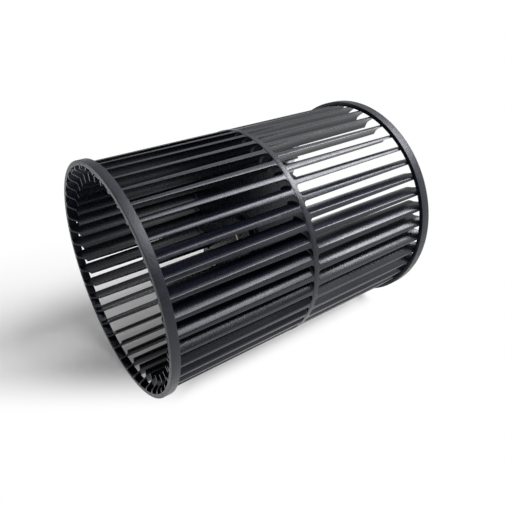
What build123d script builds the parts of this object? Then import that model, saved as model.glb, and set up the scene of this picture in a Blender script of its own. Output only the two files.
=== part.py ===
from build123d import *

import os

# Double-inlet fan wheel: two staggered cages of curved blades on one centre disc, with a metal
# hub bush and its grub screw. Millimetres; the shaft axis is +Z and the wheel stands on its lower rim.

# ---- whole wheel ----
WHEEL_DIAMETER = 150.0
WHEEL_LENGTH = 201.0

# ---- hoops round the two open ends ----
HOOP_PROUD = 2.4
HOOP_OVERLAP = 0.5
UPPER_HOOP_WIDTH = 5.4
LOWER_HOOP_WIDTH = 6.6
HOOP_CHAMFER = 0.5

# ---- blades, thinnest at the open end: both faces lean in towards it by the mould's draft ----
BLADE_COUNT = 42
BLADE_END_THICKNESS = 1.2
BLADE_DRAFT = 0.5
BLADE_SPAN = 10.8
BLADE_CURVE_RADIUS = 13.2
CAGE_STAGGER = 0.5

# ---- step at the open end of every blade ----
STEP_DEPTH = 4.5
STEP_OUTER_INSET = 2.6
STEP_INNER_INSET = 6.0

# ---- centre disc, whose edge is the thin rim between the cages ----
DISC_THICKNESS = 3.6
DISC_PROUD = 0.2

# ---- hub boss and its ribs ----
BOSS_DIAMETER = 28.0
BOSS_ABOVE = 5.0
BOSS_BELOW = 28.0
RIB_COUNT = 6
RIB_THICKNESS = 2.2
RIB_REACH = 26.0
RIB_DROP = 18.0

# ---- metal bush moulded into the boss, whose plastic laps over both its ends ----
SHAFT_BORE = 10.0
BUSH_DIAMETER = 18.0
BUSH_END_INSET = 0.6
BUSH_CHAMFER = 0.6

# ---- grub screw through boss and bush ----
SCREW_DIAMETER = 6.0
SCREW_CLEARANCE = 0.2
THREAD_GAP = 0.05
SCREW_LENGTH = 8.0
SCREW_HEX_FLATS = 3.0
SCREW_HEX_DEPTH = 3.0
SCREW_DROP = 16.0
SCREW_SHAFT_GAP = 0.3

# ---- worked out from the sizes above ----
WHEEL_RADIUS = WHEEL_DIAMETER / 2
TIP_RADIUS = WHEEL_RADIUS - HOOP_PROUD
ROOT_RADIUS = TIP_RADIUS - BLADE_SPAN
MID_HEIGHT = WHEEL_LENGTH / 2
BLADE_LENGTH = WHEEL_LENGTH - MID_HEIGHT
MIDDLE = Plane.XY.offset(MID_HEIGHT)
DISC_TOP = MID_HEIGHT + DISC_THICKNESS / 2
DISC_UNDERSIDE = MID_HEIGHT - DISC_THICKNESS / 2
BLADE_PITCH = 360.0 / BLADE_COUNT
BOSS_RADIUS = BOSS_DIAMETER / 2
BOSS_TOP = DISC_TOP + BOSS_ABOVE
BOSS_BOTTOM = DISC_UNDERSIDE - BOSS_BELOW
BUSH_TOP = BOSS_TOP - BUSH_END_INSET
BUSH_BOTTOM = BOSS_BOTTOM + BUSH_END_INSET
SCREW_HEIGHT = DISC_UNDERSIDE - SCREW_DROP
SCREW_RADIUS = SCREW_DIAMETER / 2
SCREW_ANGLE = 180.0 / RIB_COUNT


def turned(*corners):
    """Solid turned about the shaft axis from the corners of its half section."""
    return revolve(Plane.XZ * make_face(Polyline(*corners, close=True)), Axis.Z)


def hoop(width):
    """A hoop that stands proud of the blade tips, its open end on z = 0 with the outer edge chamfered."""
    wall = Circle(WHEEL_RADIUS) - Circle(TIP_RADIUS - HOOP_OVERLAP)
    body = extrude(wall, width)
    open_end_edge = body.edges().group_by(Axis.Z)[0].sort_by(SortBy.RADIUS)[-1]
    return chamfer(open_end_edge, HOOP_CHAMFER)


def blade_wall(side):
    """Cylinder whose wall is one face of a blade: side 1 for its back, -1 for its hollow front."""
    radius = BLADE_CURVE_RADIUS + side * BLADE_END_THICKNESS / 2
    return Rot(side * BLADE_DRAFT, 0, 0) * Cylinder(radius, 3 * BLADE_LENGTH)


def blade():
    """Curved strip that leaves the root circle along a radius and ends on the tip circle."""
    curve_axis = Pos(ROOT_RADIUS, -BLADE_CURVE_RADIUS, 0)
    strip = curve_axis * Pos(0, 0, BLADE_LENGTH) * (blade_wall(1) - blade_wall(-1))
    quarter = curve_axis * Rectangle(TIP_RADIUS, TIP_RADIUS, align=(Align.MIN, Align.MIN))
    return strip & extrude(quarter & Circle(TIP_RADIUS), BLADE_LENGTH)


def end_step():
    """Solid of revolution that clears the inner part of the blade ends, with a sloping shoulder."""
    floor = WHEEL_LENGTH - STEP_DEPTH
    shoulder = TIP_RADIUS - STEP_INNER_INSET
    lip = TIP_RADIUS - STEP_OUTER_INSET
    return turned((0, floor), (shoulder, floor), (lip, WHEEL_LENGTH), (0, WHEEL_LENGTH))


def upper_blades():
    """The blades of the upper cage, from the middle of the rim to the open end."""
    first = Pos(0, 0, MID_HEIGHT) * blade() - end_step()
    return [Rot(0, 0, index * BLADE_PITCH) * first for index in range(BLADE_COUNT)]


def lower_blades():
    """The upper blades mirrored through the disc and turned by the stagger between the cages."""
    turn = Rot(0, 0, CAGE_STAGGER * BLADE_PITCH)
    return [turn * mirror(upper, about=MIDDLE) for upper in upper_blades()]


def centre_disc():
    """Disc and hub boss as one turned shape."""
    return turned(
        (0, BOSS_TOP),
        (BOSS_RADIUS, BOSS_TOP),
        (BOSS_RADIUS, DISC_TOP),
        (TIP_RADIUS + DISC_PROUD, DISC_TOP),
        (TIP_RADIUS + DISC_PROUD, DISC_UNDERSIDE),
        (BOSS_RADIUS, DISC_UNDERSIDE),
        (BOSS_RADIUS, BOSS_BOTTOM),
        (0, BOSS_BOTTOM),
    )


def ribs():
    """Three-cornered ribs that tie the long side of the boss to the underside of the disc."""
    inside = (BOSS_RADIUS + BUSH_DIAMETER / 2) / 2
    outside = BOSS_RADIUS + RIB_REACH
    profile = Polyline(
        (inside, MID_HEIGHT),
        (outside, MID_HEIGHT),
        (outside, DISC_UNDERSIDE),
        (BOSS_RADIUS, DISC_UNDERSIDE - RIB_DROP),
        (inside, DISC_UNDERSIDE - RIB_DROP),
        close=True,
    )
    rib = extrude(Plane.XZ * make_face(profile), RIB_THICKNESS / 2, both=True)
    return [Rot(0, 0, index * 360.0 / RIB_COUNT) * rib for index in range(RIB_COUNT)]


def bush_blank():
    """The bush before it is bored."""
    return Pos(0, 0, BUSH_BOTTOM) * extrude(Circle(BUSH_DIAMETER / 2), BUSH_TOP - BUSH_BOTTOM)


def screw_frame():
    """Plane whose Z runs outward along the grub screw."""
    turn = Rot(0, 0, SCREW_ANGLE)
    return turn * Pos(0, 0, SCREW_HEIGHT) * Rot(0, 90, 0)


def screw_hole(gap):
    """Radial hole for the grub screw, from the bore out through the boss, with a gap all round it."""
    return screw_frame() * extrude(Circle(SCREW_RADIUS + gap), BOSS_DIAMETER)


def fan_wheel():
    """The moulded wheel: hoops, both blade cages, disc, boss and ribs in one piece."""
    lower_hoop = hoop(LOWER_HOOP_WIDTH)
    upper_hoop = mirror(hoop(UPPER_HOOP_WIDTH), about=MIDDLE)
    hub = centre_disc() + ribs()
    wheel = hub + [upper_hoop, lower_hoop] + upper_blades() + lower_blades()
    shaft_passage = extrude(Circle(SHAFT_BORE / 2 + BUSH_CHAMFER), WHEEL_LENGTH)
    return wheel - bush_blank() - shaft_passage - screw_hole(SCREW_CLEARANCE)


def hub_bush():
    """Metal bush with the shaft bore, its mouths chamfered, and the cross hole for the screw."""
    bush = bush_blank() - extrude(Circle(SHAFT_BORE / 2), WHEEL_LENGTH)
    mouths = bush.edges().filter_by(GeomType.CIRCLE).sort_by(SortBy.RADIUS)[:2]
    return chamfer(mouths, BUSH_CHAMFER) - screw_hole(THREAD_GAP)


def grub_screw():
    """Socket set screw, its tip just short of the shaft."""
    tip = SHAFT_BORE / 2 + SCREW_SHAFT_GAP
    body = extrude(Circle(SCREW_RADIUS), SCREW_LENGTH)
    socket = RegularPolygon(SCREW_HEX_FLATS / 2, 6, major_radius=False)
    body = body - Pos(0, 0, SCREW_LENGTH - SCREW_HEX_DEPTH) * extrude(socket, SCREW_HEX_DEPTH)
    return screw_frame() * Pos(0, 0, tip) * body


PARTS = {
    "fan_wheel": fan_wheel,
    "hub_bush": hub_bush,
    "grub_screw": grub_screw,
}

os.makedirs("parts", exist_ok=True)
for name, make in PARTS.items():
    export_step(make(), f"parts/{name}.step")
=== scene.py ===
"""Double-inlet fan wheel dressed on its solid model: moulded blade cages, hoops, disc and hub in black
plastic, a steel bush and its grub screw, lying on its side on a plain white studio floor.
"""

import math

import bmesh
import bpy
from bpy.props import FloatProperty, FloatVectorProperty, IntProperty, PointerProperty
from mathutils import Matrix, Vector


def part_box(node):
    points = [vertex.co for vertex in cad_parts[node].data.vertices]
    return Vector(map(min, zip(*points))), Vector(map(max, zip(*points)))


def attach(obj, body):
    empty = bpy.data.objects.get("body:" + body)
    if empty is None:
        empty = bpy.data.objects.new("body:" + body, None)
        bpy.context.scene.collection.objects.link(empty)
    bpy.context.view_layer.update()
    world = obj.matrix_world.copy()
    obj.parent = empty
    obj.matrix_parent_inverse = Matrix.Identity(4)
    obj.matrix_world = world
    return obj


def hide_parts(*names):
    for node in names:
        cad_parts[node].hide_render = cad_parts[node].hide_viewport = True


bl_info = {
    "name": "Fan Wheel Dressing",
    "version": (1, 0, 0),
    "blender": (4, 5, 0),
    "location": "View3D > Sidebar > Fan Wheel",
    "description": "Blade cages, hoops, disc, hub and studio for a double-inlet fan wheel",
    "category": "Object",
}

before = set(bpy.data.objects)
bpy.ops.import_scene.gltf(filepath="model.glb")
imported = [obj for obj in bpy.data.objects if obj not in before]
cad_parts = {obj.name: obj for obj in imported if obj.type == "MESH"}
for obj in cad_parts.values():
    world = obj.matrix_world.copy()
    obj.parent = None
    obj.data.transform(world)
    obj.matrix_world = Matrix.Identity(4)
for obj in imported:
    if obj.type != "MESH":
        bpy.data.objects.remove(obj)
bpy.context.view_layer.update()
WHEEL_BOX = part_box("fan_wheel")
BUSH_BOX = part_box("hub_bush")
WHEEL_RADIUS = WHEEL_BOX[1][0]
WHEEL_LENGTH = WHEEL_BOX[1][2]
MID_HEIGHT = WHEEL_LENGTH / 2
WHEEL_MIDDLE = Vector((0.0, 0.0, MID_HEIGHT))
MM = 0.001
PLASTIC = "moulded_black_plastic"
WHITE = (1.0, 1.0, 1.0, 1.0)

# Fineness of the turned pieces: facets round the axis, and points along a rounded corner.
TURNED_SEGMENTS = 256
ARC_STEPS = 4

# The wheel lies on its side: this way is up from the floor, across the shaft axis.
FLOOR_UP = Vector((0.79277, -0.60952, 0.0)).normalized()
# Along the floor, from the left of the camera's view to the right.
FLOOR_SIDE = Vector((-0.35629, -0.46340, -0.81137)).normalized()
CAMERA_PLACE = Vector((-0.01218, -0.31624, 0.28192))
CAMERA_SIGHT = Vector((-0.00303, 0.86892, -0.49494))


def length_setting(name, description, millimetres):
    return FloatProperty(
        name=name, description=description, default=millimetres * MM, unit="LENGTH", min=0.0
    )


def angle_setting(name, description, degrees):
    return FloatProperty(
        name=name, description=description, default=math.radians(degrees), unit="ROTATION"
    )


def colour_setting(name, description, colour):
    return FloatVectorProperty(
        name=name,
        description=description,
        default=(*colour, 1.0),
        subtype="COLOR",
        size=4,
        min=0.0,
        max=1.0,
    )


def level_setting(name, description, level):
    return FloatProperty(name=name, description=description, default=level, min=0.0)


def power_setting(name, description, watts):
    return FloatProperty(name=name, description=description, default=watts, unit="POWER", min=0.0)


class FanWheelSizes(bpy.types.PropertyGroup):
    """Sizes of the moulded wheel."""

    blade_count: IntProperty(
        name="Blades in a cage", description="Blades round each cage", default=42, min=3
    )
    blade_end: length_setting("Blade end", "Thickness of a blade at the open end", 1.2)
    blade_draft: angle_setting("Blade draft", "Lean of each blade face", 0.5)
    blade_fillet: length_setting("Blade fillet", "Fillet between a blade and the disc", 1.6)
    blade_span: length_setting("Blade span", "Radial reach of a blade, root circle to tip circle", 10.8)
    blade_curve: length_setting("Blade curve", "Radius that a blade is curved to", 13.2)
    blade_edge: length_setting("Blade edge round", "Rounding of a blade's long edges", 0.22)
    blade_warp: length_setting("Blade warp", "How far a blade may bow out of true", 0.16)
    stagger: FloatProperty(
        name="Stagger", description="Turn between the cages, in blade pitches", default=0.5, min=0.0
    )
    hoop_proud: length_setting("Hoop height", "How far the hoops stand proud of the blade tips", 2.4)
    hoop_overlap: length_setting("Hoop overlap", "How far the hoops reach inside the tip circle", 0.5)
    upper_hoop_width: length_setting("Upper hoop width", "Width of the hoop at the upper end", 5.4)
    lower_hoop_width: length_setting("Lower hoop width", "Width of the hoop at the lower end", 6.6)
    hoop_round: length_setting("Hoop edge round", "Rounding of the hoops' edges", 0.45)
    step_depth: length_setting("Step depth", "Drop of the blade ends inside the hoops", 4.5)
    step_outer: length_setting("Step lip inset", "Where the step starts, in from the tip circle", 2.6)
    step_inner: length_setting("Step foot inset", "Where the step ends, in from the tip circle", 6.0)
    disc_thickness: length_setting("Disc thickness", "Thickness of the centre disc", 3.6)
    disc_proud: length_setting("Disc rim height", "How far the disc stands out past the blades", 0.2)
    boss_diameter: length_setting("Boss diameter", "Outside diameter of the hub boss", 28.0)
    boss_above: length_setting("Boss above disc", "Height of the boss above the disc", 5.0)
    boss_below: length_setting("Boss below disc", "Length of the boss below the disc", 28.0)
    shaft_passage: length_setting("Shaft passage", "Diameter of the openings in the boss's ends", 11.2)
    rib_count: IntProperty(name="Ribs", description="Ribs between boss and disc", default=6, min=2)
    rib_thickness: length_setting("Rib thickness", "Thickness of a rib", 2.2)
    rib_reach: length_setting("Rib reach", "Reach of a rib beyond the boss", 26.0)
    rib_drop: length_setting("Rib drop", "Length of a rib down the boss", 18.0)
    screw_diameter: length_setting("Screw diameter", "Diameter of the grub screw", 6.0)
    screw_clearance: length_setting("Screw clearance", "Room round the screw in the boss", 0.2)
    screw_drop: length_setting("Screw drop", "Grub screw's distance below the disc", 16.0)
    flash_length: length_setting("Flash length", "Longest sliver of flash on the upper rim", 2.4)
    # The flash gathers on the stretch of rim that catches the key light, as a painted highlight.
    flash_highlight_angle: angle_setting("Flash angle", "Where round the rim most of the flash hangs", -72.0)


class FanWheelColours(bpy.types.PropertyGroup):
    """Colours of the wheel's finishes and of the studio."""

    plastic: colour_setting("Plastic", "Black moulded plastic", (0.0050, 0.0057, 0.0115))
    sheen: colour_setting("Flow marks", "Paler flow marks in the plastic", (0.0100, 0.0110, 0.0185))
    scuff: colour_setting("Scuffs", "Handled edges and clinging dust", (0.060, 0.062, 0.066))
    # Flash colour: partly whitened torn plastic, partly a painted highlight for the key light that the
    # upper rim catches.
    flash: colour_setting("Flash", "Torn, whitened flash", (0.72, 0.72, 0.73))
    steel: colour_setting("Bush steel", "Turned steel of the bush", (0.52, 0.51, 0.49))
    screw: colour_setting("Screw steel", "Blackened steel of the grub screw", (0.045, 0.043, 0.042))
    floor: colour_setting("Floor", "Matt white floor", (0.82, 0.82, 0.82))


class FanWheelStudio(bpy.types.PropertyGroup):
    """Camera, lamps and room."""

    lens: FloatProperty(
        name="Lens", description="Focal length in millimetres", default=37.05, unit="CAMERA", min=1.0
    )
    key_power: power_setting("Key lamp", "Power of the main softbox", 12.0)
    top_power: power_setting("Top lamp", "Power of the overhead softbox", 8.0)
    rear_power: power_setting("Rear lamp", "Power of the softbox behind", 2.8)
    side_power: power_setting("Side lamp", "Power of the pale panel beside", 1.7)
    fill_power: power_setting("Fill lamp", "Power of the front fill", 0.8)
    world_level: level_setting("Room light", "Strength of the room's light", 0.10)
    room_level: level_setting("Room brightness", "How bright the room looks", 0.38)
    floor_glow: level_setting("Floor glow", "Brightness of the floor in full shade", 0.15)


# ---- node graphs ----


class Link:
    """One output of a node. Arithmetic on it adds the Math nodes that do the sum."""

    def __init__(self, graph, socket):
        self.graph = graph
        self.socket = socket

    def math(self, operation, *values):
        return self.graph.math(operation, self, *values)

    def __add__(self, other):
        return self.graph.math("ADD", self, other)

    def __radd__(self, other):
        return self.graph.math("ADD", other, self)

    def __sub__(self, other):
        return self.graph.math("SUBTRACT", self, other)

    def __rsub__(self, other):
        return self.graph.math("SUBTRACT", other, self)

    def __mul__(self, other):
        return self.graph.math("MULTIPLY", self, other)

    def __rmul__(self, other):
        return self.graph.math("MULTIPLY", other, self)

    def __truediv__(self, other):
        return self.graph.math("DIVIDE", self, other)

    def __rtruediv__(self, other):
        return self.graph.math("DIVIDE", other, self)

    def __pow__(self, other):
        return self.graph.math("POWER", self, other)

    def __neg__(self):
        return self.graph.math("MULTIPLY", self, -1.0)


class Graph:
    """A node tree under construction."""

    def __init__(self, tree):
        self.tree = tree

    def node(self, kind, settings=None, inputs=None):
        """Adds a node: its settings, then the values or links of its sockets by name or number."""
        made = self.tree.nodes.new(kind)
        for name, value in (settings or {}).items():
            setattr(made, name, value)
        for key, value in (inputs or {}).items():
            socket = made.inputs[key]
            if isinstance(value, Link):
                self.tree.links.new(value.socket, socket)
            else:
                socket.default_value = value
        return made

    def out(self, made, key=0):
        return Link(self, made.outputs[key])

    def make(self, kind, settings=None, inputs=None, out=0):
        """Adds a node and gives one of its outputs."""
        return self.out(self.node(kind, settings, inputs), out)

    def math(self, operation, *values):
        return self.make("ShaderNodeMath", {"operation": operation}, dict(enumerate(values)))

    def largest(self, first, *others):
        for other in others:
            first = first.math("MAXIMUM", other)
        return first

    def vector(self, x=0.0, y=0.0, z=0.0):
        return self.make("ShaderNodeCombineXYZ", None, {"X": x, "Y": y, "Z": z})

    def parts(self, vector):
        made = self.node("ShaderNodeSeparateXYZ", None, {"Vector": vector})
        return self.out(made, "X"), self.out(made, "Y"), self.out(made, "Z")

    def ramp(self, value, low, high, to_low=0.0, to_high=1.0, smooth=True):
        """A value between two levels, spread over a new range and held at its ends."""
        settings = {"interpolation_type": "SMOOTHSTEP" if smooth else "LINEAR", "clamp": True}
        ends = {"From Min": low, "From Max": high, "To Min": to_low, "To Max": to_high}
        return self.make("ShaderNodeMapRange", settings, {"Value": value, **ends})

    def mix_colour(self, factor, first, second):
        settings = {"data_type": "RGBA", "clamp_factor": True}
        return self.make("ShaderNodeMix", settings, {0: factor, 6: first, 7: second}, 2)

    def mix_shader(self, factor, first, second):
        return self.make("ShaderNodeMixShader", None, {0: factor, 1: first, 2: second})

    def shown(self):
        """1 where a surface is seen, straight or in metal and glass, and 0 where it only lights."""
        rays = self.node("ShaderNodeLightPath")
        kinds = ("Is Camera Ray", "Is Glossy Ray", "Is Transmission Ray")
        return self.largest(*(self.out(rays, kind) for kind in kinds))

    def join(self, *parts):
        """Geometry of several parts in one."""
        joined = self.node("GeometryNodeJoinGeometry")
        for part in parts:
            self.tree.links.new(part.socket, joined.inputs[0])
        return self.out(joined)


class Finish(Graph):
    """A procedural material on object coordinates."""

    def __init__(self, name):
        self.material = bpy.data.materials.new(name)
        self.material.use_nodes = True
        self.material.node_tree.nodes.clear()
        super().__init__(self.material.node_tree)
        self.place = self.make("ShaderNodeTexCoord", None, None, "Object")

    def noise(self, scale, detail=2.0, roughness=0.5):
        """Noise whose scale, in cycles a metre, may differ along x, y and z."""
        spread = scale if isinstance(scale, tuple) else (scale, scale, scale)
        mapped = self.make("ShaderNodeMapping", None, {"Vector": self.place, "Scale": spread})
        levels = {"Vector": mapped, "Scale": 1.0, "Detail": detail, "Roughness": roughness}
        return self.make("ShaderNodeTexNoise", {"noise_dimensions": "3D"}, levels)

    def bump(self, height, distance, strength):
        levels = {"Height": height, "Distance": distance, "Strength": strength}
        return self.make("ShaderNodeBump", None, levels)

    def surface(self, **sockets):
        """Material of one principled shader; underscores in socket names stand for spaces."""
        inputs = {name.replace("_", " "): value for name, value in sockets.items()}
        return self.show(self.make("ShaderNodeBsdfPrincipled", None, inputs))

    def show(self, shader):
        self.node("ShaderNodeOutputMaterial", None, {"Surface": shader})
        return self.material


class Shaper(Graph):
    """A geometry node tree with named inputs, run once on a mesh and baked."""

    def __init__(self, name):
        super().__init__(bpy.data.node_groups.new(name, "GeometryNodeTree"))
        for way in ("INPUT", "OUTPUT"):
            self.tree.interface.new_socket(
                name="Geometry", in_out=way, socket_type="NodeSocketGeometry"
            )
        self.entry = self.tree.nodes.new("NodeGroupInput")
        self.values = {}

    def input(self, name, value, kind="NodeSocketFloat"):
        item = self.tree.interface.new_socket(name=name, in_out="INPUT", socket_type=kind)
        self.values[item.identifier] = value
        return Link(self, next(s for s in self.entry.outputs if s.identifier == item.identifier))

    def geometry(self):
        return self.out(self.entry, "Geometry")

    def finish(self, geometry, material):
        """Ends the tree in realized instances with their material."""
        real = self.make("GeometryNodeRealizeInstances", None, {"Geometry": geometry})
        dressed = self.make("GeometryNodeSetMaterial", None, {"Geometry": real, "Material": material})
        self.node("NodeGroupOutput", None, {"Geometry": dressed})

    def bake(self, piece):
        """Runs the tree on a piece and leaves the result as its plain mesh."""
        modifier = piece.modifiers.new(self.tree.name, "NODES")
        modifier.node_group = self.tree
        for identifier, value in self.values.items():
            modifier[identifier] = value
        depsgraph = bpy.context.evaluated_depsgraph_get()
        mesh = bpy.data.meshes.new_from_object(piece.evaluated_get(depsgraph))
        piece.modifiers.remove(modifier)
        piece.data = mesh
        mesh.name = piece.name
        if mesh.materials and not mesh.materials[0]:
            mesh.materials.pop(index=0)
        return piece


# ---- mesh helpers ----


def new_piece(name, mesh, material=None):
    piece = bpy.data.objects.new(name, mesh)
    bpy.context.scene.collection.objects.link(piece)
    if material:
        mesh.materials.append(material)
    return piece


def tidy_mesh(mesh, sharp_degrees=32.0):
    """Merges doubles, turns every face outwards and shades smooth up to a sharp angle."""
    work = bmesh.new()
    work.from_mesh(mesh)
    bmesh.ops.remove_doubles(work, verts=work.verts, dist=1e-6)
    bmesh.ops.recalc_face_normals(work, faces=work.faces)
    for face in work.faces:
        face.smooth = True
    work.to_mesh(mesh)
    work.free()
    mesh.set_sharp_from_angle(angle=math.radians(sharp_degrees))


def rounded_outline(corners):
    """Closed outline of (radius, height, rounding) corners, with the rounded ones turned into arcs."""
    outline = []
    count = len(corners)
    for index, (x, z, rounding) in enumerate(corners):
        corner = Vector((x, z))
        before = Vector(corners[index - 1][:2]) - corner
        after = Vector(corners[(index + 1) % count][:2]) - corner
        if rounding <= 0.0:
            outline.append(corner)
            continue
        half = before.angle(after) / 2
        reach = min(rounding / math.tan(half), before.length * 0.49, after.length * 0.49)
        start = corner + before.normalized() * reach
        end = corner + after.normalized() * reach
        for step in range(ARC_STEPS + 1):
            t = step / ARC_STEPS
            outline.append(start.lerp(corner, t).lerp(corner.lerp(end, t), t))
    return outline


def turned_mesh(name, corners):
    """Mesh turned about the shaft axis from a closed outline, in metres."""
    outline = rounded_outline(corners)
    mesh = bpy.data.meshes.new(name)
    verts = []
    faces = []
    for ring in range(TURNED_SEGMENTS):
        angle = 2 * math.pi * ring / TURNED_SEGMENTS
        cos, sin = math.cos(angle), math.sin(angle)
        verts.extend((point.x * cos, point.x * sin, point.y) for point in outline)
    size = len(outline)
    for ring in range(TURNED_SEGMENTS):
        here = ring * size
        there = (ring + 1) % TURNED_SEGMENTS * size
        for index in range(size):
            after = (index + 1) % size
            faces.append((here + index, there + index, there + after, here + after))
    mesh.from_pydata(verts, [], faces)
    tidy_mesh(mesh)
    return mesh


def claim(piece):
    """Says that a finished piece is part of the moulded wheel."""
    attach(piece, "root")
    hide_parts("fan_wheel")


def grown_piece(name, tree, sharp_degrees=32.0):
    """Piece of the moulding that a geometry tree makes by itself."""
    piece = tree.bake(new_piece(name, bpy.data.meshes.new(name)))
    if not piece.data.polygons:
        raise RuntimeError(f"the tree of {name} made no faces")
    tidy_mesh(piece.data, sharp_degrees)
    claim(piece)


# ---- finishes ----


def black_plastic(colours, sizes):
    """Semi-gloss black plastic: long flow marks, a fine moulded grain and handled edges."""
    finish = Finish(PLASTIC)
    x, y, z = finish.parts(finish.place)
    radius = (x * x + y * y) ** 0.5
    flow = finish.noise((330.0, 330.0, 14.0), 3.0, 0.6)
    patches = finish.noise(34.0, 3.0, 0.55)
    grain = finish.noise(1900.0, 2.0, 0.6)
    specks = finish.noise(820.0, 2.0, 0.6)
    mottle = finish.ramp(specks, 0.38, 0.62)
    flow_mark = finish.ramp(flow, 0.46, 0.72)

    # Where hands and tables rub it: the hoops' outsides, the blade tips and the open ends.
    tip = WHEEL_RADIUS - sizes.hoop_proud
    rub = 0.7 * MM
    hoop_rub = finish.ramp(radius, WHEEL_RADIUS - 0.9 * MM, WHEEL_RADIUS)
    tip_rub = finish.ramp(radius, tip - 0.25 * MM, tip)
    lower_rub = finish.ramp(z, 0.0, rub, 1.0, 0.0)
    end_rub = lower_rub.math("MAXIMUM", finish.ramp(z, WHEEL_LENGTH - rub, WHEEL_LENGTH))
    rubbed = tip_rub * 0.25 + hoop_rub * 0.12 + end_rub * 0.4
    handled = rubbed * finish.ramp(patches + specks * 0.4, 0.55, 0.95)
    dust = finish.ramp(specks, 0.66, 0.78) * finish.ramp(patches, 0.45, 0.7)
    marks = flow_mark * 0.35 + mottle * 0.25
    base = finish.mix_colour(marks, tuple(colours.plastic), tuple(colours.sheen))
    base = finish.mix_colour(handled * 0.6 + dust * 0.15, base, tuple(colours.scuff))

    # The hoops are coarser than the blades.
    hoop = finish.ramp(radius, tip, tip + 0.6 * MM)
    roughness = 0.17 + patches * 0.12 + flow_mark * 0.08 + handled * 0.14 + hoop * 0.08 + mottle * 0.06
    height = (grain * 0.35 + specks * 0.3) * (1.0 + hoop * 3.0) + flow * 0.5
    return finish.surface(
        Base_Color=base,
        Roughness=roughness,
        Specular_IOR_Level=0.48,
        Specular_Tint=(0.90, 0.93, 1.0, 1.0),
        Normal=finish.bump(height, 0.10 * MM, 0.9),
    )


def torn_flash(colours):
    """Thin torn plastic, whitened where it was stretched, and pale as a painted highlight of the lit
    upper rim.
    """
    finish = Finish("torn_flash")
    # The pale patches are partly whitened torn plastic and partly a painted highlight.
    torn = finish.ramp(finish.noise(900.0, 3.0, 0.6), 0.3, 0.55)
    base = finish.mix_colour(torn, tuple(colours.plastic), tuple(colours.flash))
    return finish.surface(
        Base_Color=base,
        Roughness=0.42 + torn * 0.2,
        Normal=finish.bump(torn, 0.08 * MM, 0.6),
    )


def turned_steel(colours):
    """Turned bush: fine tool rings round the bore, dulled by oil in patches."""
    finish = Finish("turned_steel")
    x, y, z = finish.parts(finish.place)
    radius = (x * x + y * y) ** 0.5
    rings = (radius * 26000.0 + z * 21000.0).math("SINE")
    haze = finish.noise(220.0, 4.0, 0.6)
    oil = finish.ramp(haze, 0.5, 0.75)
    dull = (0.30, 0.28, 0.25, 1.0)
    return finish.surface(
        Base_Color=finish.mix_colour(oil, tuple(colours.steel), dull),
        Metallic=1.0,
        Roughness=0.24 + haze * 0.2 + oil * 0.12,
        Normal=finish.bump(rings * 0.5 + haze, 0.02 * MM, 0.7),
    )


def blackened_steel(colours):
    """Blackened screw with the oxide rubbed off its ridges."""
    finish = Finish("blackened_steel")
    worn = finish.ramp(finish.noise(1300.0, 3.0, 0.6), 0.55, 0.7)
    bare = (0.35, 0.34, 0.33, 1.0)
    return finish.surface(
        Base_Color=finish.mix_colour(worn * 0.6, tuple(colours.screw), bare),
        Metallic=1.0,
        Roughness=0.38 + worn * 0.12,
        Normal=finish.bump(finish.noise(2600.0), 0.02 * MM, 0.6),
    )


# ---- pieces ----


def wheel_settings(context):
    scene = context.scene
    return scene.fan_wheel_sizes, scene.fan_wheel_colours, scene.fan_wheel_studio


def shared_plastic(colours, sizes):
    """The one plastic of the whole moulding."""
    return bpy.data.materials.get(PLASTIC) or black_plastic(colours, sizes)


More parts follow.
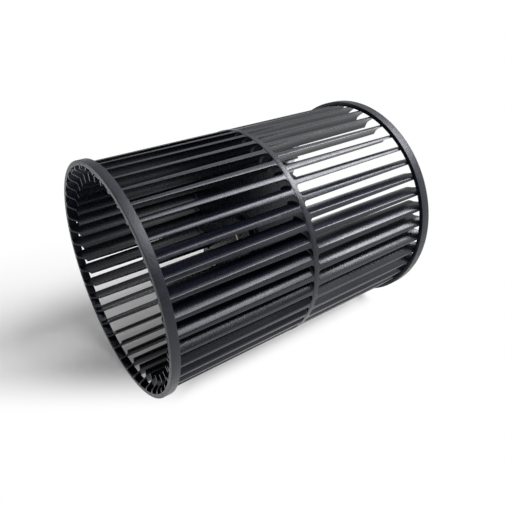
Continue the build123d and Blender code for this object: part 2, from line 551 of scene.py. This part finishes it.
class BladeCages(Shaper):
    """Both cages: one curved, stepped blade, repeated round the axis and mirrored through the disc."""

    def __init__(self, sizes, material):
        super().__init__("Blade cages")
        tip = WHEEL_RADIUS - sizes.hoop_proud
        self.count = self.input("Blades in a cage", sizes.blade_count, "NodeSocketInt")
        self.root = self.input("Root radius", tip - sizes.blade_span)
        self.tip = self.input("Tip radius", tip)
        self.curve = self.input("Curve radius", sizes.blade_curve)
        self.thickness = self.input("End thickness", sizes.blade_end)
        self.draft = self.input("Draft", sizes.blade_draft)
        self.fillet = self.input("Fillet", sizes.blade_fillet)
        self.edge = self.input("Edge round", sizes.blade_edge)
        self.half_disc = self.input("Half disc thickness", sizes.disc_thickness / 2)
        self.reach = self.input("Blade length", WHEEL_LENGTH - MID_HEIGHT)
        self.step_depth = self.input("Step depth", sizes.step_depth)
        self.step_outer = self.input("Step lip inset", sizes.step_outer)
        self.step_inner = self.input("Step foot inset", sizes.step_inner)
        self.warp = self.input("Warp", sizes.blade_warp)
        middle = self.input("Middle height", MID_HEIGHT)
        stagger = self.input("Stagger", sizes.stagger)
        seed = self.input("Seed", 11, "NodeSocketInt")
        finish = self.input("Material", material, "NodeSocketMaterial")

        blade = self.stepped(self.bent(self.block()))
        lift = {"Translation": self.vector(0.0, 0.0, middle)}
        straight_up = {"Geometry": self.cage(blade, 0.0, seed), **lift}
        upside_down = {"Geometry": self.cage(blade, stagger, seed + 7), "Scale": (1.0, 1.0, -1.0), **lift}
        halves = (self.make("GeometryNodeTransform", None, way) for way in (straight_up, upside_down))
        self.finish(self.join(*halves), finish)

    def block(self):
        """A straight block one unit each way in plan, in lifts that are short in the disc's fillet."""
        plan = {"Size X": 1.0, "Size Y": 1.0, "Vertices X": 19, "Vertices Y": 4}
        grid = self.make("GeometryNodeMeshGrid", None, plan)
        block = grid
        top = None
        height = 0.0
        fillet_levels = [self.half_disc + self.fillet * part for part in (0.0, 0.12, 0.35, 1.0)]
        for level in (*fillet_levels, self.reach * 0.35, self.reach * 0.7, self.reach):
            lift = self.vector(0.0, 0.0, level - height)
            inputs = {"Mesh": block, "Offset": lift, "Individual": False}
            if top:
                inputs["Selection"] = top
            pulled = self.node("GeometryNodeExtrudeMesh", {"mode": "FACES"}, inputs)
            block, top, height = self.out(pulled, "Mesh"), self.out(pulled, "Top"), level
        closed = self.join(block, self.make("GeometryNodeFlipFaces", None, {"Mesh": grid}))
        welded = {"Geometry": closed, "Distance": 0.01 * MM}
        return self.make("GeometryNodeMergeByDistance", None, welded)

    def bent(self, block):
        """The block bent to the blade's arc, root circle to tip circle, thinning as it rises."""
        x, y, z = self.parts(self.make("GeometryNodeInputPosition"))
        above = ((z - self.half_disc) / self.fillet).math("MAXIMUM", 0.0).math("MINIMUM", 1.0)
        below = 1.0 - above
        flare = (1.0 - (1.0 - below * below).math("SQRT")) * self.fillet * 2.0
        along = 0.5 - ((x + 0.5) * math.pi).math("COSINE") * 0.5
        lean = self.draft.math("TANGENT") * (self.reach - z) * 2.0
        offset = y * (self.thickness + flare)
        centre = self.curve - y * lean
        from_end = along.math("MINIMUM", 1.0 - along) * self.turn_to_tip(offset, centre) * self.curve
        nearness = 1.0 - self.ramp(from_end, 0.0, self.edge, smooth=False)
        rounding = nearness * nearness * self.edge
        wall = offset.math("SIGN") * (offset.math("ABSOLUTE") - rounding).math("MAXIMUM", 0.0)
        turn = along * self.turn_to_tip(wall, centre)
        arm = self.curve + wall
        arc = self.vector(self.root + arm * turn.math("SINE"), arm * turn.math("COSINE") - centre, z)
        return self.make("GeometryNodeSetPosition", None, {"Geometry": block, "Position": arc})

    def turn_to_tip(self, offset, centre):
        """Angle round the blade's arc at which a wall of it reaches the tip circle."""
        root, tip = self.root, self.tip
        arm = self.curve + offset
        spread = (root * root + centre * centre) ** 0.5
        rise = (tip * tip - root * root - centre * centre - arm * arm) / (arm * 2.0)
        return centre.math("ARCTAN2", root) + (rise / spread).math("ARCSINE")

    def stepped(self, blade):
        """The step in the open end: the blade's inner part stops short, with a sloping shoulder."""
        x, y, z = self.parts(self.make("GeometryNodeInputPosition"))
        foot, lip = self.tip - self.step_inner, self.tip - self.step_outer
        drop = self.ramp((x * x + y * y) ** 0.5, foot, lip, self.step_depth, 0.0, smooth=False)
        at_top = z.math("GREATER_THAN", self.reach * 0.95)
        cut = {"Geometry": blade, "Selection": at_top, "Offset": self.vector(0.0, 0.0, -drop)}
        return self.make("GeometryNodeSetPosition", None, cut)

    def cage(self, blade, turn_by, seed):
        """The blade on every pitch, each one bowed a little its own way."""
        number = self.make("GeometryNodeInputIndex")
        angle = (number + turn_by) * (2.0 * math.pi / self.count)
        points = self.make("GeometryNodePoints", None, {"Count": self.count})
        placed = {"Points": points, "Instance": blade, "Rotation": self.vector(0.0, 0.0, angle)}
        ring = self.make("GeometryNodeInstanceOnPoints", None, placed)
        stored = {"Geometry": ring, "Name": "blade_number", "Value": number}
        settings = {"data_type": "INT", "domain": "INSTANCE"}
        named = self.make("GeometryNodeStoreNamedAttribute", settings, stored)
        real = self.make("GeometryNodeRealizeInstances", None, {"Geometry": named})

        settings = {"data_type": "INT"}
        own_number = self.make("GeometryNodeInputNamedAttribute", settings, {"Name": "blade_number"})
        spread = {2: -1.0, 3: 1.0, "ID": own_number, "Seed": seed}
        chance = self.make("FunctionNodeRandomValue", {"data_type": "FLOAT"}, spread, 1)
        x, y, z = self.parts(self.make("GeometryNodeInputPosition"))
        radius = (x * x + y * y) ** 0.5
        belly = (z / self.reach * math.pi).math("SINE") * self.warp * chance
        shift = belly * self.ramp(radius, self.root, self.tip, 1.0, 0.25, smooth=False) / radius
        bowed = {"Geometry": real, "Offset": self.vector(-y * shift, x * shift, 0.0)}
        return self.make("GeometryNodeSetPosition", None, bowed)


def rib_ring(count, material):
    """The rib it is given, repeated round the shaft axis."""
    tree = Shaper("Rib ring")
    number = tree.input("Ribs", count, "NodeSocketInt")
    finish = tree.input("Material", material, "NodeSocketMaterial")
    points = tree.make("GeometryNodePoints", None, {"Count": number})
    angle = tree.make("GeometryNodeInputIndex") * (2.0 * math.pi / number)
    placed = {"Points": points, "Instance": tree.geometry(), "Rotation": tree.vector(0.0, 0.0, angle)}
    tree.finish(tree.make("GeometryNodeInstanceOnPoints", None, placed), finish)
    return tree


def flash_tree(sizes, material):
    """Threads of flash that hang inside the upper hoop, most of them along the stretch of rim that
    catches the key light, where their pale colour is partly a painted highlight.
    """
    tree = Shaper("Flash threads")
    radius = tree.input("Rim radius", WHEEL_RADIUS - sizes.hoop_proud - sizes.hoop_overlap)
    height = tree.input("Rim height", WHEEL_LENGTH - 0.5 * MM)
    reach = tree.input("Reach", sizes.flash_length)
    thread = tree.input("Thread radius", 0.19 * MM)
    middle = tree.input("Angle", sizes.flash_highlight_angle)
    bareness = tree.input("Bareness", 0.54)
    count = tree.input("Points round the rim", 960, "NodeSocketInt")
    finish = tree.input("Material", material, "NodeSocketMaterial")
    circle = {"Vertices": count, "Radius": radius}
    ring = tree.make("GeometryNodeMeshCircle", {"fill_type": "NONE"}, circle)
    place = tree.make("GeometryNodeInputPosition")
    x, y, _ = tree.parts(place)

    def noise(scale, seed):
        levels = {"Vector": place, "W": seed, "Scale": scale, "Detail": 2.0}
        return tree.make("ShaderNodeTexNoise", {"noise_dimensions": "4D"}, levels)

    off_middle = (tree.math("ARCTAN2", y, x) - middle).math("ABSOLUTE")
    patch = noise(95.0, 3.7) + tree.ramp(off_middle, 0.3, 1.1, 0.2, -0.1)
    bare = patch.math("LESS_THAN", bareness)
    gone = {"Geometry": ring, "Selection": bare}
    torn = tree.make("GeometryNodeDeleteGeometry", {"domain": "POINT"}, gone)
    inward = (tree.ramp(noise(420.0, 8.1), 0.3, 0.65) * 0.75 + 0.1) * reach / radius
    drop = tree.ramp(noise(560.0, 5.3), 0.35, 0.7) * reach * 0.3
    shift = tree.vector(-x * inward, -y * inward, height - drop)
    moved = tree.make("GeometryNodeSetPosition", None, {"Geometry": torn, "Offset": shift})
    paths = tree.make("GeometryNodeMeshToCurve", None, {"Mesh": moved})
    swell = tree.ramp(noise(700.0, 1.9), 0.3, 0.75, 0.35, 1.6)
    outline = tree.make("GeometryNodeCurvePrimitiveCircle", None, {"Resolution": 5, "Radius": thread})
    tubes = {"Curve": paths, "Profile Curve": outline, "Scale": swell, "Fill Caps": True}
    tree.finish(tree.make("GeometryNodeCurveToMesh", None, tubes), finish)
    return tree


class FANWHEEL_OT_blades(bpy.types.Operator):
    """Makes the blades of both cages"""

    bl_idname = "fan_wheel.blades"
    bl_label = "Blade cages"

    def execute(self, context):
        sizes, colours, _ = wheel_settings(context)
        grown_piece("blade_cages", BladeCages(sizes, shared_plastic(colours, sizes)))
        return {"FINISHED"}


class FANWHEEL_OT_hoops(bpy.types.Operator):
    """Makes the hoops round the two open ends"""

    bl_idname = "fan_wheel.hoops"
    bl_label = "End hoops"

    def execute(self, context):
        sizes, colours, _ = wheel_settings(context)
        inner = WHEEL_RADIUS - sizes.hoop_proud - sizes.hoop_overlap
        soft = sizes.hoop_round
        fine = 0.2 * MM
        ends = (
            ("upper_hoop", WHEEL_LENGTH, WHEEL_LENGTH - sizes.upper_hoop_width),
            ("lower_hoop", 0.0, sizes.lower_hoop_width),
        )
        for name, open_end, inside in ends:
            corners = [
                (inner, open_end, fine),
                (WHEEL_RADIUS, open_end, soft),
                (WHEEL_RADIUS, inside, fine),
                (inner, inside, fine),
            ]
            claim(new_piece(name, turned_mesh(name, corners), shared_plastic(colours, sizes)))
        return {"FINISHED"}


class FANWHEEL_OT_flash(bpy.types.Operator):
    """Makes the torn threads of flash inside the upper hoop"""

    bl_idname = "fan_wheel.flash"
    bl_label = "Moulding flash"

    def execute(self, context):
        sizes, colours, _ = wheel_settings(context)
        grown_piece("moulding_flash", flash_tree(sizes, torn_flash(colours)), sharp_degrees=60.0)
        return {"FINISHED"}


class FANWHEEL_OT_disc(bpy.types.Operator):
    """Makes the centre disc with the hub boss, its bush seat and the screw hole"""

    bl_idname = "fan_wheel.disc"
    bl_label = "Disc and boss"

    def execute(self, context):
        sizes, colours, _ = wheel_settings(context)
        rim = WHEEL_RADIUS - sizes.hoop_proud + sizes.disc_proud
        top = MID_HEIGHT + sizes.disc_thickness / 2
        underside = MID_HEIGHT - sizes.disc_thickness / 2
        boss = sizes.boss_diameter / 2
        boss_top = top + sizes.boss_above
        boss_bottom = underside - sizes.boss_below
        seat = BUSH_BOX[1][0]
        seat_low, seat_high = BUSH_BOX[0][2], BUSH_BOX[1][2]
        mouth = sizes.shaft_passage / 2
        mouth_round, rim_round, boss_round, foot_fillet = 0.3 * MM, 0.35 * MM, 1.0 * MM, 1.2 * MM
        corners = [
            (mouth, boss_top, mouth_round),
            (boss, boss_top, boss_round),
            (boss, top, foot_fillet),
            (rim, top, rim_round),
            (rim, underside, rim_round),
            (boss, underside, foot_fillet),
            (boss, boss_bottom, boss_round),
            (mouth, boss_bottom, mouth_round),
            (mouth, seat_low, 0.0),
            (seat, seat_low, 0.0),
            (seat, seat_high, 0.0),
            (mouth, seat_high, 0.0),
        ]
        blank = turned_mesh("disc_and_boss", corners)
        piece = new_piece("disc_and_boss", blank, shared_plastic(colours, sizes))
        drill = self.screw_hole(sizes, underside, boss)
        cut = piece.modifiers.new("Screw hole", "BOOLEAN")
        cut.operation = "DIFFERENCE"
        cut.solver = "EXACT"
        cut.object = drill
        depsgraph = bpy.context.evaluated_depsgraph_get()
        mesh = bpy.data.meshes.new_from_object(piece.evaluated_get(depsgraph))
        piece.modifiers.remove(cut)
        piece.data = mesh
        bpy.data.objects.remove(drill)
        tidy_mesh(mesh)
        claim(piece)
        return {"FINISHED"}

    def screw_hole(self, sizes, underside, boss):
        """A round pin where the grub screw passes through one wall of the boss."""
        work = bmesh.new()
        radius = sizes.screw_diameter / 2 + sizes.screw_clearance
        bmesh.ops.create_cone(
            work, cap_ends=True, segments=48, radius1=radius, radius2=radius, depth=boss * 2
        )
        between_ribs = Matrix.Rotation(math.pi / sizes.rib_count, 4, "Z")
        place = between_ribs @ Matrix.Translation((boss, 0.0, underside - sizes.screw_drop))
        lying = Matrix.Rotation(math.pi / 2, 4, "Y")
        bmesh.ops.transform(work, matrix=place @ lying, verts=work.verts)
        mesh = bpy.data.meshes.new("screw_hole")
        work.to_mesh(mesh)
        work.free()
        return new_piece("screw_hole", mesh)


class FANWHEEL_OT_ribs(bpy.types.Operator):
    """Makes the ribs between the boss and the underside of the disc"""

    bl_idname = "fan_wheel.ribs"
    bl_label = "Boss ribs"

    def execute(self, context):
        sizes, colours, _ = wheel_settings(context)
        boss = sizes.boss_diameter / 2
        underside = MID_HEIGHT - sizes.disc_thickness / 2
        inside = boss - 1.5 * MM
        outside = boss + sizes.rib_reach
        sunk = underside + 0.5 * MM
        foot = underside - sizes.rib_drop
        outline = [(inside, sunk), (outside, sunk), (outside, underside), (boss, foot), (inside, foot)]
        # Draft: the rib is thickest at the disc, where it leaves the mould last.
        half = sizes.rib_thickness / 2
        slim = half - 0.25 * MM
        halves = [half, half, half, slim, slim]
        work = bmesh.new()
        left = [work.verts.new((x, h, z)) for (x, z), h in zip(outline, halves)]
        right = [work.verts.new((x, -h, z)) for (x, z), h in zip(outline, halves)]
        work.faces.new(left)
        work.faces.new(list(reversed(right)))
        for index in range(len(outline)):
            after = (index + 1) % len(outline)
            work.faces.new((left[index], right[index], right[after], left[after]))
        bmesh.ops.recalc_face_normals(work, faces=work.faces)
        bmesh.ops.bevel(
            work,
            geom=work.edges,
            offset=0.3 * MM,
            segments=2,
            profile=0.5,
            affect="EDGES",
            clamp_overlap=True,
        )
        mesh = bpy.data.meshes.new("boss_ribs")
        work.to_mesh(mesh)
        work.free()
        piece = new_piece("boss_ribs", mesh)
        rib_ring(sizes.rib_count, shared_plastic(colours, sizes)).bake(piece)
        tidy_mesh(piece.data)
        claim(piece)
        return {"FINISHED"}


class FANWHEEL_OT_metal(bpy.types.Operator):
    """Finishes the bush and the grub screw"""

    bl_idname = "fan_wheel.metal"
    bl_label = "Bush and grub screw"

    def execute(self, context):
        _, colours, _ = wheel_settings(context)
        finishes = {"hub_bush": turned_steel(colours), "grub_screw": blackened_steel(colours)}
        for node, material in finishes.items():
            for slot in bpy.data.objects[node].material_slots:
                slot.material = material
        return {"FINISHED"}


def from_floor(across, away, up):
    """A place round the middle of the wheel: to the camera's right, away from it, up from the floor."""
    back = FLOOR_UP.cross(FLOOR_SIDE).normalized()
    return WHEEL_MIDDLE + FLOOR_SIDE * across + back * away + FLOOR_UP * up


def looking(location, aim):
    """Matrix that puts a camera or lamp at a place, facing another, level with the floor."""
    back = (location - aim).normalized()
    right = FLOOR_UP.cross(back).normalized()
    turn = Matrix((right, back.cross(right), back)).transposed().to_4x4()
    return Matrix.Translation(location) @ turn


class FANWHEEL_OT_studio(bpy.types.Operator):
    """Makes the floor, the lamps, the room and the camera"""

    bl_idname = "fan_wheel.studio"
    bl_label = "Studio"

    def execute(self, context):
        _, colours, studio = wheel_settings(context)
        self.floor(colours, studio)
        lamps = (
            ("key_softbox", from_floor(0.83, 0.27, 0.90), 0.55, 0.45, studio.key_power),
            ("top_softbox", from_floor(0.58, -0.08, 1.10), 0.75, 0.55, studio.top_power),
            ("rear_softbox", from_floor(0.20, 0.81, 1.00), 1.00, 0.80, studio.rear_power),
            ("side_reflector", from_floor(1.15, -0.08, 0.38), 0.80, 0.70, studio.side_power),
            ("front_fill", from_floor(-0.60, -0.70, 0.60), 0.60, 0.60, studio.fill_power),
        )
        for name, place, width, height, power in lamps:
            light = bpy.data.lights.new(name, "AREA")
            light.shape = "RECTANGLE"
            light.size = width
            light.size_y = height
            light.energy = power
            lamp = bpy.data.objects.new(name, light)
            lamp.matrix_world = looking(place, WHEEL_MIDDLE)
            context.scene.collection.objects.link(lamp)
        self.room(context, studio)
        self.camera(context, studio)
        context.scene.view_settings.view_transform = "Standard"
        return {"FINISHED"}

    def floor(self, colours, studio):
        """A round white floor that touches the hoops' side and can't be seen from below."""
        work = bmesh.new()
        bmesh.ops.create_circle(work, cap_ends=True, segments=96, radius=6.0)
        place = Matrix.Translation(WHEEL_MIDDLE - FLOOR_UP * WHEEL_RADIUS)
        turn = FLOOR_UP.to_track_quat("Z", "Y").to_matrix().to_4x4()
        bmesh.ops.transform(work, matrix=place @ turn, verts=work.verts)
        mesh = bpy.data.meshes.new("floor")
        work.to_mesh(mesh)
        work.free()
        finish = Finish("white_floor")
        x, y, z = finish.parts(finish.place)
        along = z - MID_HEIGHT
        away = x * -FLOOR_UP.y + y * FLOOR_UP.x

        # The wheel's shadow stays in a patch round it. Past the patch the floor is plain white:
        # each row is a distance along the floor, where the fade starts and where it ends.
        fades = (
            (away * -0.83 + along * 0.56, 0.045, 0.090),
            (-away, 0.022, 0.046),
            (away, 0.13, 0.22),
            (-along, 0.06, 0.14),
            (along, 0.14, 0.26),
        )
        far = finish.largest(*(finish.ramp(*fade) for fade in fades))
        matt = finish.make("ShaderNodeBsdfDiffuse", None, {"Color": tuple(colours.floor)})
        glow = finish.make("ShaderNodeEmission", None, {"Color": WHITE, "Strength": studio.floor_glow})
        lit = finish.make("ShaderNodeAddShader", None, {0: matt, 1: glow})
        white = finish.make("ShaderNodeEmission", None, {"Color": WHITE, "Strength": 1.0})
        clear = finish.make("ShaderNodeBsdfTransparent", None, {"Color": WHITE})
        above = finish.mix_shader(finish.shown(), matt, finish.mix_shader(far, lit, white))
        below = finish.make("ShaderNodeNewGeometry", None, None, "Backfacing")
        new_piece("floor", mesh, finish.show(finish.mix_shader(below, above, clear)))

    def room(self, context, studio):
        """A plain pale room all round, which looks brighter than the light it gives."""
        world = bpy.data.worlds.new("studio_room")
        world.use_nodes = True
        world.node_tree.nodes.clear()
        graph = Graph(world.node_tree)
        strength = graph.shown() * (studio.room_level - studio.world_level) + studio.world_level
        background = graph.make("ShaderNodeBackground", None, {"Color": WHITE, "Strength": strength})
        graph.node("ShaderNodeOutputWorld", None, {"Surface": background})
        context.scene.world = world

    def camera(self, context, studio):
        """Level over the floor, from the side and a little past the upper end."""
        lens = bpy.data.cameras.new("camera")
        lens.lens = studio.lens
        lens.sensor_width = 36.0
        lens.clip_start = 0.01
        camera = bpy.data.objects.new("camera", lens)
        camera.matrix_world = looking(CAMERA_PLACE, CAMERA_PLACE + CAMERA_SIGHT)
        context.scene.collection.objects.link(camera)
        context.scene.camera = camera


class FANWHEEL_PT_panel(bpy.types.Panel):
    """Lists the fan wheel's sizes, colours and pieces"""

    bl_idname = "FANWHEEL_PT_panel"
    bl_label = "Fan Wheel"
    bl_space_type = "VIEW_3D"
    bl_region_type = "UI"
    bl_category = "Fan Wheel"

    def draw(self, context):
        layout = self.layout
        for settings in wheel_settings(context):
            box = layout.box()
            for name in settings.__annotations__:
                box.prop(settings, name)
        for operator in PIECES:
            layout.operator(operator.bl_idname)


PIECES = (
    FANWHEEL_OT_blades,
    FANWHEEL_OT_hoops,
    FANWHEEL_OT_flash,
    FANWHEEL_OT_disc,
    FANWHEEL_OT_ribs,
    FANWHEEL_OT_metal,
    FANWHEEL_OT_studio,
)
SETTINGS = (FanWheelSizes, FanWheelColours, FanWheelStudio)


def register():
    for item in (*SETTINGS, *PIECES, FANWHEEL_PT_panel):
        bpy.utils.register_class(item)
    bpy.types.Scene.fan_wheel_sizes = PointerProperty(type=FanWheelSizes)
    bpy.types.Scene.fan_wheel_colours = PointerProperty(type=FanWheelColours)
    bpy.types.Scene.fan_wheel_studio = PointerProperty(type=FanWheelStudio)


def unregister():
    del bpy.types.Scene.fan_wheel_studio
    del bpy.types.Scene.fan_wheel_colours
    del bpy.types.Scene.fan_wheel_sizes
    for item in reversed((*SETTINGS, *PIECES, FANWHEEL_PT_panel)):
        bpy.utils.unregister_class(item)


def main():
    register()
    bpy.ops.fan_wheel.blades()
    bpy.ops.fan_wheel.hoops()
    bpy.ops.fan_wheel.flash()
    bpy.ops.fan_wheel.disc()
    bpy.ops.fan_wheel.ribs()
    bpy.ops.fan_wheel.metal()
    bpy.ops.fan_wheel.studio()


if __name__ == "__main__":
    main()
